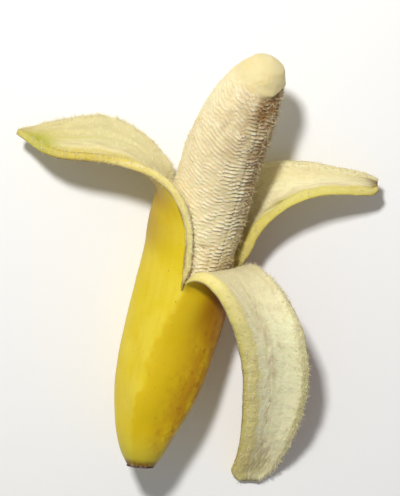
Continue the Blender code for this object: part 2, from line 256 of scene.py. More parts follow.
peel = {
    "cellsPerStrip": 56,
    "tubeRows": 84,
    "hollowRows": 26,
    "stripRows": 112,
    "cutPoints": 5,          # points across a torn edge, between skin and pith
    "notchTurn": 3.0,
    "notchLead": 5.0,
    "skinClearance": 2.4,
    "insideClearance": 0.45,
    "bevelRun": 9.0,
    "cutRoom": 3.0,
    "fullWaverWidth": 12.0,  # a strip narrower than this tore less unevenly
    "ridgeCount": 5,
    "ridgeTurnAtSplit": -3.0,
    "ridgeTurnAtEnd": -25.0,
    "ridgeHeight": 0.55,     # as in the solid
    "ridgeSwell": (0.15, 0.9),
    "ridgeExtra": 1.0,       # what the finer mesh adds: sharper ridges with flatter faces between
    "ridgeRounding": 0.1,
    "ridgeMean": 0.36,       # taken off, so that the skin stays as thick on the whole
    "topRidgeAt": (0.0, 30.0, 50.0, 60.0, 75.0),
    "topRidgeTurn": (-30.0, -27.0, -21.0, -14.0, -4.0),
    "topRidgeExtra": 1.0,    # the ridge that runs down from the notch stands out most
    "topRidgeWidth": 13.0,
    "topRidgeMean": 0.35,
    "lumpHeight": 0.2,
    "cutWaver": 0.22,        # how unevenly the inner layer tore, as a share of the bevel
    "fibreHeight": 0.09,
    "crumbHeight": 0.12,
    "cutBulge": 0.25,        # how far a torn edge rolls out, in mm, and as a share of its lip
    "lipBulge": 1.0,
    "cutRoughness": 0.22,
    "blossomEnd": ((1.2, 0.5), (2.2, 0.0), (3.1, -0.5), (3.9, -0.8), (4.6, -0.9), (5.1, -0.55)),
    "dimple": 0.7,           # the end's rings are a radius and a setback each; this is its middle's
    "skinReach": 18.9,       # from the axis: where each layer reads its pattern on the unopened fruit
    "wallReach": 17.0,
    "pithReach": 15.7,
    "cutReach": 7.0,
}
acrossStrip = np.linspace(0.0, 1.0, peel["cellsPerStrip"] + 1)
acrossCut = np.arange(1, peel["cutPoints"] + 1) / (peel["cutPoints"] + 1.0)

strips = (
    {
        "name": "front", "turns": (-4.0, 112.0), "bevels": (4.2, 2.0),
        "wavers": (0.35, 0.6), "pale": (0.2, 0.95), "lip": ((0.0, 1.0), (0.0, 0.0)), "wrinkles": 0.13,
        "creases": (
            ((24.0, 48.0, 73.0, 100.0), (0.42, 0.33, 0.30, 0.28), 0.035, 0.3, 0.9),
            ((39.0, 62.0, 95.0), (0.73, 0.60, 0.73), 0.05, 0.25, 0.0),
        ),
        "stations": (
            ((-5.8, -9.6, 39.0), (16.0, -14.2, 12.8), 6.4),
            ((-3.7, -7.4, 43.0), (18.6, -10.2, 17.0), 1.6),
            ((-0.4, -6.9, 46.5), (22.3, -8.4, 23.0), 0.8),
            ((3.3, -8.7, 48.5), (26.5, -9.6, 29.0), 1.8),
            ((7.4, -13.5, 49.0), (31.8, -14.0, 33.5), 3.3),
            ((10.8, -21.1, 47.5), (36.3, -20.7, 36.0), 4.2),
            ((13.9, -32.0, 43.0), (40.5, -32.3, 36.0), 4.8),
            ((16.0, -44.7, 36.5), (42.2, -46.3, 31.5), 4.8),
            ((16.2, -59.9, 28.0), (41.2, -61.6, 24.5), 4.4),
            ((15.8, -75.2, 18.5), (37.4, -77.0, 16.0), 3.6),
            ((14.3, -86.9, 10.0), (33.4, -87.6, 8.6), 2.8),
            ((12.8, -95.8, 3.6), (28.6, -95.6, 3.2), 1.9),
            ((14.6, -98.77, 1.5), (24.6, -99.27, 1.2), 1.0),
        ),
    },
    {
        "name": "right", "turns": (112.0, 232.0), "bevels": (2.8, 1.8),
        "wavers": (0.35, 0.5), "pale": (0.1, 0.9), "lip": ((0.0, 1.0), (0.0, 0.0)), "wrinkles": 0.0,
        "creases": (((41.0, 50.0, 59.0), (0.02, 0.1, 0.18), 0.04, 0.9, 0.0),),
        "stations": (
            ((15.0, -10.0, 13.4), (-16.0, 1.0, 5.3), 8.0),
            ((19.1, -3.2, 17.0), (-9.5, 10.5, 3.2), 7.0),
            ((22.8, 4.7, 20.0), (-1.0, 18.5, 1.8), 6.5),
            ((27.3, 11.0, 22.0), (10.5, 25.9, 1.8), 7.0),
            ((33.5, 16.3, 23.7), (21.5, 30.5, 4.0), 6.0),
            ((40.8, 19.9, 24.1), (33.0, 32.7, 7.5), 5.0),
            ((48.5, 21.3, 22.8), (43.6, 32.1, 9.3), 4.2),
            ((56.3, 20.9, 19.8), (52.5, 30.5, 9.5), 3.4),
            ((63.0, 20.0, 16.0), (60.6, 28.8, 9.5), 2.6),
            ((67.2, 19.9, 13.4), (66.1, 27.2, 9.5), 1.8),
            ((69.0, 21.1, 12.2), (68.8, 25.6, 9.8), 1.0),
        ),
    },
    {
        "name": "left", "turns": (232.0, 356.0), "bevels": (1.8, 2.4),
        "wavers": (1.3, 0.4), "pale": (1.0, 0.6), "lip": ((0.0, 6.0, 38.0, 54.0), (0.0, 0.9, 0.8, 0.0)),
        "wrinkles": 0.0, "creases": (((45.0, 64.0, 84.0), (0.3, 0.34, 0.3), 0.04, 0.5, 0.0),),
        "stations": (
            ((-18.2, -1.0, 6.2), (-6.0, -4.0, 37.1), 9.6),
            ((-15.8, 8.0, 6.0), (-5.3, 5.0, 37.6), 9.4),
            ((-13.2, 17.0, 5.8), (-5.8, 13.0, 38.0), 9.0),
            ((-11.0, 24.0, 5.3), (-7.6, 19.5, 38.1), 8.0),
            ((-12.0, 30.5, 4.2), (-11.5, 25.6, 37.3), 6.4),
            ((-16.0, 35.0, 3.0), (-16.8, 29.9, 36.0), 4.6),
            ((-21.5, 40.3, 1.6), (-24.0, 32.9, 34.2), 3.8),
            ((-28.5, 45.4, 0.2), (-32.0, 34.8, 32.2), 4.0),
            ((-37.0, 48.7, 0.0), (-40.5, 35.7, 30.3), 4.4),
            ((-46.0, 48.9, 1.0), (-48.5, 36.0, 28.0), 4.4),
            ((-54.0, 47.8, 2.8), (-55.5, 36.7, 25.0), 3.6),
            ((-61.0, 47.0, 6.0), (-61.8, 38.9, 20.8), 2.6),
            ((-66.5, 45.8, 9.2), (-67.1, 41.9, 16.0), 1.3),
            ((-69.9, 45.0, 11.6), (-70.3, 43.6, 13.8), 0.4),
        ),
    },
)


def ridgeWay(turns, along):   # how far round the skin the nearest ridge is, as an angle
    share = np.clip(along / fruit["splitAt"], 0.0, 1.0)
    first = peel["ridgeTurnAtEnd"] + (peel["ridgeTurnAtSplit"] - peel["ridgeTurnAtEnd"]) * share
    return np.radians((turns - first) * peel["ridgeCount"])


def skinRadius(along, turns):   # the solid's skin
    share = np.clip(along / fruit["splitAt"], 0.0, 1.0)
    low, high = peel["ridgeSwell"]
    swell = np.sin(np.pi * (low + (high - low) * share))
    plain = smoothCurve(fruit["skinAt"], fruit["skinRadius"], along)
    return plain + peel["ridgeHeight"] * swell * np.cos(ridgeWay(turns, along)) / 2.0


def fromTopRidge(turns, along):   # degrees to the right of the ridge that runs down from the notch
    ridge = smoothCurve(peel["topRidgeAt"], peel["topRidgeTurn"], along)
    return (turns - ridge + 180.0) % 360.0 - 180.0


def skinRelief(turns, along):   # what the real skin adds to it: crisper ridges and soft lumps
    swing = np.sin(ridgeWay(turns, along) / 2.0)
    crest = 1.0 - np.sqrt(swing ** 2 + peel["ridgeRounding"] ** 2) - peel["ridgeMean"]
    swell = smoothStep(2.0, 24.0, along) * (1.0 - 0.7 * smoothStep(62.0, 95.0, along))
    top = np.exp(-np.sqrt((fromTopRidge(turns, along) / peel["topRidgeWidth"]) ** 2 + 0.02))
    topSwell = smoothStep(6.0, 26.0, along) * smoothStep(80.0, 66.0, along)
    lumps = roundNoise("lumps", turns, along) + 0.35 * roundNoise("dents", turns, along)
    relief = peel["ridgeExtra"] * crest * swell
    relief = relief + peel["topRidgeExtra"] * (top - peel["topRidgeMean"]) * topSwell
    return relief + peel["lumpHeight"] * lumps * smoothStep(0.0, 10.0, along)


def arcRow(first, second, depth, ahead):   # a strip's cross-section, bulging to the skin side
    chord = np.linalg.norm(second - first)
    across = (second - first) / chord
    out = unit(np.cross(across, ahead))
    radius = (chord ** 2 / 4.0 + depth ** 2) / (2.0 * depth)
    half = np.arctan2(chord / 2.0, radius - depth)
    angle = -half + 2.0 * half * acrossStrip
    swing = np.outer(np.sin(angle), across) * radius
    rise = np.outer(np.cos(angle) * radius - radius + depth, out)
    return (first + second) / 2.0 + swing + rise


def stripSkin(strip, turns):   # rows of the solid's skin from the split to the tip
    stations = [(np.array(first), np.array(second), depth) for first, second, depth in strip["stations"]]
    lead = fruit["splitAt"] - peel["notchLead"]
    wide = np.linspace(turns[0] - peel["notchTurn"], turns[-1] + peel["notchTurn"], len(turns))
    before = tubePoints(lead, wide, skinRadius(lead, turns))
    root = tubePoints(fruit["splitAt"], turns, skinRadius(fruit["splitAt"], turns))
    rows = [before, root]
    path = [root.mean(axis=0)] + [(first + second) / 2.0 for first, second, _ in stations]
    for index, (first, second, depth) in enumerate(stations):
        ahead = unit(path[min(index + 2, len(path) - 1)] - path[index])
        rows.append(arcRow(first, second, depth, ahead))
    rows = np.array(rows)
    gaps = np.linalg.norm(np.diff(rows[1:].mean(axis=1), axis=0), axis=1)
    knots = np.concatenate([[-peel["notchLead"], 0.0], np.cumsum(gaps)])
    places = np.linspace(0.0, knots[-1], peel["stripRows"])
    return clearOfFlesh(smoothCurve(knots, rows, places), peel["skinClearance"]), places


def outwards(grid):   # unit normals of a grid of points, towards the skin side
    return unit(np.cross(np.gradient(grid, axis=1), np.gradient(grid, axis=0)))


def respread(rows, starts, ends):   # each row again, held back from its two edges or let past them
    spread = []
    for row, start, end in zip(rows, starts, ends):
        width = np.concatenate([[0.0], np.cumsum(np.linalg.norm(np.diff(row, axis=0), axis=1))])
        wanted = start + (width[-1] - start - end) * acrossStrip
        placed = np.stack([np.interp(wanted, width, row[:, i]) for i in range(3)], -1)
        past = np.maximum(wanted - width[-1], 0.0)[:, None]
        spread.append(placed + past * (row[-1] - row[-2]) / (width[-1] - width[-2]))
    return np.array(spread)


def rowWidths(rows):
    return np.linalg.norm(np.diff(rows, axis=1), axis=2).sum(axis=1)


def creaseAt(places, knots, shares, width):   # how much of a crease that runs along a strip is here
    middle = np.interp(places, knots, shares)[:, None]
    start = smoothStep(knots[0] - 6.0, knots[0] + 4.0, places)
    fade = start * smoothStep(knots[-1] + 8.0, knots[-1] - 4.0, places)
    return np.exp(-((acrossStrip - middle) / width) ** 2) * fade[:, None]


# Stains on a strip: mm from the split, share across, reach in mm, reach across, strength
stains = {
    "front": {
        "mauve": (
            (110.0, 0.45, 14.0, 0.45, 0.8), (48.0, 0.36, 26.0, 0.1, 0.4), (80.0, 0.34, 22.0, 0.1, 0.3),
        ),
        "brown": ((121.0, 0.5, 1.6, 2.0, 0.6),),
        "moss": ((70.0, 1.0, 30.0, 0.02, 0.4), (114.0, 0.4, 9.0, 0.6, 0.3)),
        "butter": (),
        "paintedFoldShade": (),
    },
    "right": {
        "mauve": ((50.0, 0.2, 14.0, 0.06, 0.5), (20.0, 0.2, 16.0, 0.3, 0.35), (70.0, 0.3, 12.0, 0.05, 0.5)),
        "brown": ((91.0, 0.5, 4.6, 2.0, 1.0), (50.0, 0.1, 9.0, 0.025, 0.6)),
        "moss": ((50.0, 0.12, 12.0, 0.05, 0.6), (56.0, 0.0, 36.0, 0.07, 0.35)),
        "butter": (
            (60.0, 0.75, 26.0, 0.2, 0.2), (80.0, 0.12, 26.0, 0.14, 0.5), (30.0, 0.0, 16.0, 0.06, 0.5),
        ),
        "paintedFoldShade": (),
    },
    "left": {
        "mauve": ((66.0, 0.58, 24.0, 0.08, 0.6), (74.0, 0.2, 18.0, 0.05, 0.4)),
        "brown": ((98.5, 0.8, 1.6, 1.0, 0.95), (70.0, 1.02, 14.0, 0.03, 1.0)),
        "moss": ((88.0, 0.75, 8.0, 0.45, 1.0), (72.0, 0.42, 20.0, 0.03, 0.5), (68.0, 0.3, 32.0, 0.4, 0.22)),
        "butter": ((70.0, 0.95, 40.0, 0.25, 1.0), (90.0, 0.5, 14.0, 0.5, 0.4)),
        # painted shade on the skin below the left strip's fold
        "paintedFoldShade": ((22.0, 0.5, 12.0, 0.35, 0.6), (36.0, 0.6, 13.0, 0.4, 0.75)),
    },
}


def stainOn(strip, kind, places, share):
    places, share = np.broadcast_arrays(np.asarray(places, float), np.asarray(share, float))
    strength = 0.0 * places
    for at, middle, reach, width, amount in stains[strip["name"]][kind]:
        away = ((places - at) / reach) ** 2 + ((share - middle) / width) ** 2
        strength = np.maximum(strength, amount * np.exp(-away))
    return strength


def pithRelief(strip, turns, along, places):   # fibres, creases and wrinkles of the inner face
    fibres = 0.4 * roundNoise("fibres", turns, along) + 0.4 * roundNoise("strings", turns, along)
    lumps = roundNoise("pithLumps", turns, along)
    crumbs = np.maximum(roundNoise("crumbs", turns, along) - 0.35, 0.0)
    flakes = np.maximum(roundNoise("flakes", turns, along), 0.0)
    wrinkled = np.maximum(smoothStep(0.45, 0.8, acrossStrip), smoothStep(60.0, 100.0, places[:, None]))
    relief = peel["fibreHeight"] * (fibres + lumps) + peel["crumbHeight"] * crumbs
    relief = relief + strip["wrinkles"] * roundNoise("wrinkles", turns, along) * wrinkled
    for knots, shares, width, depth, flaky in strip["creases"]:
        relief = relief + creaseAt(places, knots, shares, width) * (flaky * flakes - depth)
    return relief


def brightOn(name, places, across, cut):   # where the torn side is palest: partly fresh pith, and partly painted light where these faces turn from the lamp, most on the front strip's lower part and on the left strip's lip
    if name == "front":
        return (0.1 + 1.1 * smoothStep(14.0, 50.0, places)) * (0.8 + 0.4 * smoothStep(0.4, 0.6, across))
    if name == "right":
        return 0.45 * smoothStep(32.0, 55.0, places)
    lip = 0.9 * smoothStep(62.0, 44.0, places) * (across > 0.9) * (cut < 1.0)
    streak = 0.5 * np.exp(-((across - 0.68) / 0.1) ** 2) * smoothStep(44.0, 60.0, places)
    return lip + streak * smoothStep(90.0, 78.0, places)


# What the materials of the peel read: how strong each of these is at a point, from 0 to 1
peelMarks = (
    "goldenShadedSide", "bruisedAndShaded", "paintedFoldShade", "band", "rind", "rim",
    "bright", "butter", "mauve", "brown", "moss", "fray",
)

# Where the skin changes colour, in degrees to the right of the top ridge or in mm along the fruit; the deeper
# gold and brown right of the ridge are partly painted shade
ripening = {
    "goldenShadedSideTurns": (-3.0, 7.0),
    "bruisedAndShadedTurns": (22.0, 80.0),
    "plainTurns": (165.0, 120.0),
    # painted shade on the skin under the front strip's fold
    "paintedFoldShadeTurns": (14.0, 50.0),
    "paintedFoldShadeAt": (46.0, 74.0),
    "greenAt": (16.0, 0.0),
    "corkyAt": (3.0, 0.4),
}


def skinMarks(turns, along):   # the side right of the top ridge, which faces from the lamp, is painted deeper gold and brown: painted shade, partly real bruising
    away = fromTopRidge(turns, along)
    far = smoothStep(*ripening["plainTurns"], away)
    uneven = away + 5.0 * roundNoise("ripening", turns, along)
    # painted shade under the front strip's fold
    paintedFoldShade = smoothStep(*ripening["paintedFoldShadeAt"], along) * smoothStep(*ripening["paintedFoldShadeTurns"], away)
    return {
        "goldenShadedSide": smoothStep(*ripening["goldenShadedSideTurns"], uneven) * far,
        "bruisedAndShaded": smoothStep(*ripening["bruisedAndShadedTurns"], away) * far,
        "paintedFoldShade": paintedFoldShade * far,
        "moss": 0.75 * smoothStep(*ripening["greenAt"], along),
        "brown": 0.9 * smoothStep(*ripening["corkyAt"], along),
    }


def stripMarks(number, places, across, cut, frayed):   # cut is how deep in a torn edge, 1 on the pith
    strip = strips[number]
    fromPale, toPale = strip["pale"]
    pale = fromPale + (toPale - fromPale) * across
    line = np.clip(0.5 + 0.8 * roundNoise("rimLine", 100.0, places, number), 0.0, 1.0)
    found = {kind: stainOn(strip, kind, places, across) for kind in stains[strip["name"]]}
    found["rind"] = smoothStep(0.5, 0.1, cut) * (1.0 - 0.75 * pale)
    found["rim"] = smoothStep(0.12, 0.0, cut) * line
    found["brown"] = found["brown"] * (1.0 - 0.85 * smoothStep(0.05, 0.4, cut) * (cut < 1.0))
    found["band"] = (1.0 - pale) * (cut < 1.0)
    found["fray"] = frayed * pale * np.minimum(places / peel["bevelRun"], 1.0)
    found["bright"] = brightOn(strip["name"], places, across, cut)
    return found


class Shell:   # the peel's mesh while it grows, with what the materials read at each point

    def __init__(self):
        self.points = []
        self.faces = []
        self.kinds = []
        self.attributes = {name: [] for name in ("grown", *peelMarks)}
        self.count = 0

    def addPoints(self, grid, radius, turns, along, marks):   # gives the numbers of the new points
        shape = grid.shape[:-1]
        angle = np.radians(np.broadcast_to(turns, shape))
        unopened = (radius * np.sin(angle), radius * np.cos(angle), np.broadcast_to(along, shape))
        self.points.append(grid.reshape(-1, 3))
        self.attributes["grown"].append(np.stack(unopened, -1).reshape(-1, 3))
        for name in peelMarks:
            self.attributes[name].append(np.broadcast_to(marks.get(name, 0.0), shape).ravel())
        numbers = np.arange(self.count, self.count + angle.size).reshape(shape)
        self.count += angle.size
        return numbers

    def addFaces(self, faces, kind):   # kind is 0 on the skin, 1 on the pith and 2 on the blossom end
        self.faces.extend(faces.tolist())
        self.kinds.extend(np.broadcast_to(kind, len(faces)).tolist())


def addTube(shell, turns):   # the closed part: the worn blossom end, the skin and the hollow round the flesh
    ragged = 1.0 + 0.1 * roundNoise("blossomRim", turns, 0.0) + 0.09 * roundNoise("blossomNicks", turns, 0.0)
    rings = []
    for radius, setback in peel["blossomEnd"]:
        ring = tubePoints(0.0, turns, radius * ragged) + endWay * setback
        rings.append(shell.addPoints(ring, radius, turns, setback, {"brown": 1.0}))
    pole = tubePoints(0.0, [0.0], 0.0) + endWay * peel["dimple"]
    pit = shell.addPoints(pole, 0.0, 0.0, peel["dimple"], {"brown": 1.0})[0]
    shell.addFaces(fan(pit, rings[0]), 2)
    shell.addFaces(ringQuads(rings), 2)

    up = np.linspace(0.0, 1.0, peel["tubeRows"])[:, None]
    along = fruit["splitAt"] * (0.3 * up ** 2 + 0.7 * up)
    radius = skinRadius(along, turns) + skinRelief(turns, along)
    skin = tubePoints(along, turns, radius)
    skinIds = shell.addPoints(skin, radius, turns, along, skinMarks(turns, along))
    shell.addFaces(ringQuads([rings[-1], skinIds[0]]), 2)
    shell.addFaces(ringQuads(skinIds), 0)

    inward = easedPlaces(fruit["hollowStart"], fruit["splitAt"], peel["hollowRows"])
    wall = hollowRadius(inward)
    hollow = tubePoints(inward, turns, wall)
    hollowIds = shell.addPoints(hollow, wall, turns, inward, {})
    pole = tubePoints(fruit["hollowStart"], [0.0], 0.0)
    bottom = shell.addPoints(pole, 0.0, 0.0, fruit["hollowStart"], {})[0]
    shell.addFaces(fan(bottom, hollowIds[0])[:, ::-1], 1)
    shell.addFaces(ringQuads(hollowIds)[:, ::-1], 1)

    # The wall that shows at each split, shared by the two strips beside it
    splits = []
    for column in range(0, len(turns), peel["cellsPerStrip"]):
        points = skin[-1, column] + (hollow[-1, column] - skin[-1, column]) * acrossCut[:, None]
        rind = {"rind": 1.0 - acrossCut}
        splits.append(shell.addPoints(points, peel["wallReach"], turns[column], fruit["splitAt"], rind))
    return skinIds[-1], hollowIds[-1], splits


def tornEdge(name, number, skinRim, pithRim, side, roll, places):   # the rounded torn side between two rims
    start = skinRim[:, None]
    cut = start + (pithRim[:, None] - start) * acrossCut[:, None]
    lift = unit(np.cross(pithRim - skinRim, np.gradient(skinRim, axis=0)))
    rough = peel["cutRoughness"] * roundNoise(name, acrossCut * 60.0, places[:, None], number)
    bulge = peel["cutBulge"] + peel["lipBulge"] * roll[:, None] + rough
    grown = np.minimum(places / peel["bevelRun"], 1.0)
    swell = 4.0 * acrossCut * (1.0 - acrossCut) * bulge * grown[:, None]
    return cut + side * lift[:, None, :] * swell[..., None]


def stripForm(number, turns):   # rows of points of a strip: skin, second torn edge, pith, first torn edge
    strip = strips[number]
    base, places = stripSkin(strip, turns)
    along = (fruit["splitAt"] + places)[:, None]
    toTip = (places[-1] - places)[:, None]
    grown = np.minimum(places / peel["bevelRun"], 1.0)
    wide = np.minimum(rowWidths(base) / peel["fullWaverWidth"], 1.0)
    held = []
    for side, waver in zip((40.0, 190.0), strip["wavers"]):
        slow = roundNoise("skinTear", side, places, number)
        quick = roundNoise("skinNicks", side, places, number)
        held.append(np.maximum(waver * grown * wide * (0.45 + 0.45 * slow + 0.4 * quick), 0.0))
    relief = skinRelief(turns, along) * toTip / (toTip + 6.0)
    skin = respread(base, *held) + outwards(base) * relief[..., None]

    thinner = (places / places[-1]) ** 3
    thickness = fruit["peelThickness"] + (fruit["tipThickness"] - fruit["peelThickness"]) * thinner
    pith = base - outwards(base) * thickness[:, None, None]
    room = np.minimum(1.0, rowWidths(pith) / (peel["cutRoom"] * sum(strip["bevels"])))
    cuts = []
    lips = (0.0 * places, smoothCurve(*strip["lip"], places))
    for side, bevel, lip in zip((70.0, 250.0), strip["bevels"], lips):
        waver = roundNoise("pithTear", side, places, number)
        waver = waver + 0.6 * roundNoise("pithNicks", side, places, number)
        kept = bevel * grown * room * np.maximum(1.0 - lip, 0.0)
        cuts.append(kept * (1.0 + peel["cutWaver"] * waver) - lip * (1.0 + 0.15 * waver))
    pith = respread(pith, *cuts)
    fine = pithRelief(strip, turns, along, places) * grown[:, None]
    pith = clearOfFlesh(pith - outwards(pith) * fine[..., None], peel["insideClearance"])
    for layer in (skin, pith):   # none of it hangs below the surface that it lies on
        layer[..., 2] = np.maximum(layer[..., 2], 0.0)
    second = tornEdge("secondEdge", number, skin[:, -1], pith[:, -1], 1.0, lips[1], places)
    first = tornEdge("firstEdge", number, skin[:, 0], pith[:, 0], -1.0, lips[0], places)
    return [rows[1:] for rows in (places[:, None], skin, second, pith, first)]


def addStrip(shell, number, root):   # loops of faces round the strip, from its root to its tip
    strip = strips[number]
    fromTurn, toTurn = strip["turns"]
    turns = fromTurn + (toTurn - fromTurn) * acrossStrip
    places, skin, second, pith, first = stripForm(number, turns)
    along = fruit["splitAt"] + places
    fromEdge = np.minimum(acrossStrip, 1.0 - acrossStrip)
    outerMarks = skinMarks(turns, along)
    outerMarks["rim"] = 1.0 * (fromEdge == 0.0)
    for kind in ("moss", "brown", "paintedFoldShade"):
        outerMarks[kind] = np.maximum(outerMarks[kind], stainOn(strip, kind, places, acrossStrip))
    innerMarks = stripMarks(number, places, acrossStrip, 1.0, np.exp(-(fromEdge / 0.05) ** 2))
    fromPale, toPale = strip["pale"]
    sidePale = fromPale + (toPale - fromPale) * (acrossStrip > 0.5)
    innerMarks["band"] = smoothStep(2.4, 0.3, fromEdge * rowWidths(pith)[:, None]) * (1.0 - sidePale)
    secondMarks = stripMarks(number, places, 1.0, acrossCut, 1.0)
    firstMarks = stripMarks(number, places, 0.0, acrossCut, 1.0)

    reach = peel["pithReach"] + peel["cutReach"] * (1.0 - acrossCut)
    skinIds = shell.addPoints(skin, peel["skinReach"], turns, along, outerMarks)
    secondIds = shell.addPoints(second, reach, toTurn, along, secondMarks)
    pithIds = shell.addPoints(pith, peel["pithReach"], turns, along, innerMarks)
    firstIds = shell.addPoints(first, reach, fromTurn, along, firstMarks)
    loops = np.concatenate([skinIds, secondIds, pithIds[:, ::-1], firstIds[:, ::-1]], axis=1)
    loops = np.vstack([root, loops])
    kinds = np.where(np.arange(loops.shape[1]) < peel["cellsPerStrip"], 0, 1)
    shell.addFaces(ringQuads(loops), np.tile(kinds, len(loops) - 1))
    skinTip = skinIds[-1]
    pithTip = pithIds[-1]
    shell.addFaces(np.stack([skinTip[:-1], skinTip[1:], pithTip[1:], pithTip[:-1]], -1), 1)
    shell.addFaces(np.array([[skinTip[-1], *secondIds[-1], pithTip[-1]]]), 1)
    shell.addFaces(np.array([[pithTip[0], *firstIds[-1][::-1], skinTip[0]]]), 1)


def buildPeel(materials):
    shell = Shell()
    cells = peel["cellsPerStrip"]
    turns = np.concatenate([np.linspace(*strip["turns"], cells, endpoint=False) for strip in strips])
    skinRim, hollowRim, splits = addTube(shell, turns)
    for number in range(len(strips)):
        columns = (number * cells + np.arange(cells + 1)) % len(turns)
        nextSplit = splits[(number + 1) % len(strips)]
        root = [skinRim[columns], nextSplit, hollowRim[columns][::-1], splits[number][::-1]]
        addStrip(shell, number, np.concatenate(root))
    attributes = {name: np.concatenate(values) for name, values in shell.attributes.items()}
    points = np.concatenate(shell.points)
    return makePiece("peelOpened", points, shell.faces, materials, shell.kinds, attributes)


# The flesh: its plain body is a grid, and a tree of nodes lays the ridges and lumps on it

flesh = {
    "columns": 176,
    "hiddenRows": 22,
    "fineFrom": 70.0,
    "rowStep": 0.3,
    "tipRows": 20,
    "tipFrom": 166.0,
    "relief": {
        "Ridge spacing": 1.65,   # mm between the fine ridges that run round the flesh
        "Ridge height": 0.5,
        "Ridge waver": 1.0,      # how far they wander, against the real flesh
        "Lump height": 0.9,
        "Seed": 4.0,
    },
    "ridgeSlant": 0.09,      # mm that a ridge climbs for each degree to the left of the top
    "ridgeStrength": (0.38, 1.3),   # on the left, and what comes to it towards the right
    "ridgedMost": 70.0,      # the turn where they stand out most
    "capFade": 3.5,
    "capStep": 1.3,          # how far the flesh below the smooth tip stands back on its right
    "stepTurns": ((0.0, 48.0), (135.0, 85.0)),
    "stepBelowCap": ((0.0, 1.6), (20.0, 5.0)),
    "shownAt": (69.0, 76.0),
    "frayedTurns": ((38.0, 66.0), (140.0, 115.0)),
    "tuftAt": 131.0,         # a tuft of shreds on the left edge
    "tuftReach": 6.0,
    "tuftTurns": (-120.0, -90.0),
    "tuftLastTurn": -60.0,
    # Painted shade with some real browning: this line says where it fades out round the back, and drying
    # lists its strengths, turns and mm
    "shadeAndDryingTurns": (118.0, 82.0),
    "drying": (              # how strong, over which turns it grows and over which mm
        (0.35, (25.0, 80.0), (0.0, 1.0)), (0.65, (25.0, 80.0), (85.0, 130.0)),
        (0.5, (-70.0, 30.0), (100.0, 145.0)), (0.35, (5.0, 30.0), (102.0, 86.0)),
    ),
    "capEdge": ((-180.0, -20.0, 9.0, 34.0, 69.0, 180.0), (161.0, 162.5, 162.0, 161.8, 164.5, 161.0)),
}

# Marks on it: their places along the axis, their turns, half width in degrees and depth in mm, and
# over how many mm their ends fade
fleshMarks = (
    ((86.0, 143.0, 154.0), (39.0, 39.0, 31.0), 1.3, 0.4, 3.0),
    ((80.0, 97.0), (24.0, 19.0), 1.4, 0.35, 3.0),
    ((100.0, 114.0), (15.0, 11.0), 1.4, 0.2, 3.0),
    ((93.2, 94.6), (9.0, 9.0), 7.0, 1.0, 0.5),
    ((141.0, 146.0), (-19.0, -17.0), 5.0, 0.5, 3.0),
    ((149.0, 152.0), (-17.0, -12.0), 6.0, 0.4, 3.0),
)


def markDepth(along, turns):
    depth = 0.0
    for places, middles, width, deep, fading in fleshMarks:
        middle = np.interp(along, places, middles) + roundNoise("seams", 0.0, along)
        fade = smoothStep(places[0] - fading, places[0] + fading, along)
        fade = fade * smoothStep(places[-1] + fading, places[-1] - fading, along)
        away = (turns - middle + 180.0) % 360.0 - 180.0
        depth = depth + deep * np.exp(-(away / width) ** 2) * fade
    return depth


def startTree(name, sizes, marks):   # a tree with a named input for each size, which reads marks of the piece
    tree = bpy.data.node_groups.new(name, "GeometryNodeTree")
    tree.interface.new_socket("Geometry", in_out="INPUT", socket_type="NodeSocketGeometry")
    for size, value in sizes.items():
        kind = "NodeSocketInt" if isinstance(value, int) else "NodeSocketFloat"
        tree.interface.new_socket(size, in_out="INPUT", socket_type=kind)
    tree.interface.new_socket("Geometry", in_out="OUTPUT", socket_type="NodeSocketGeometry")
    given = addNode(tree, "NodeGroupInput").outputs
    values = {socket.name: socket for socket in given if socket.name}
    for mark in marks:
        kind = "FLOAT_VECTOR" if mark == "grown" else "FLOAT"
        node = addNode(tree, "GeometryNodeInputNamedAttribute", {"data_type": kind}, {"Name": mark})
        values[mark] = node.outputs[0]
    return tree, values


def addSums(tree, values, sums):   # each sum is its name, its operation and what it takes, by name or number
    for name, operation, *terms in sums:
        terms = {index: values.get(term, term) for index, term in enumerate(terms)}
        values[name] = addNode(tree, "ShaderNodeMath", {"operation": operation}, terms).outputs[0]


def patternOn(tree, place, across, lengthwise, detail, seed=None):
    # Noise over the unopened fruit: its cells to the mm round it and along it, and how fine it gets
    scaled = addNode(tree, "ShaderNodeVectorMath", {"operation": "MULTIPLY"},
                     {0: place, 1: (across, across, lengthwise)})
    inputs = {"Vector": scaled.outputs[0], "Scale": 1.0, "Detail": detail}
    settings = {}
    if seed is not None:
        settings["noise_dimensions"] = "4D"
        inputs["W"] = seed
    return addNode(tree, "ShaderNodeTexNoise", settings, inputs).outputs[0]


def endTree(tree, shape, material):
    real = addNode(tree, "GeometryNodeRealizeInstances", None, {"Geometry": shape})
    finished = addNode(tree, "GeometryNodeSetMaterial", None,
                       {"Geometry": real.outputs[0], "Material": material})
    addNode(tree, "NodeGroupOutput", None, {"Geometry": finished.outputs[0]})
    return tree


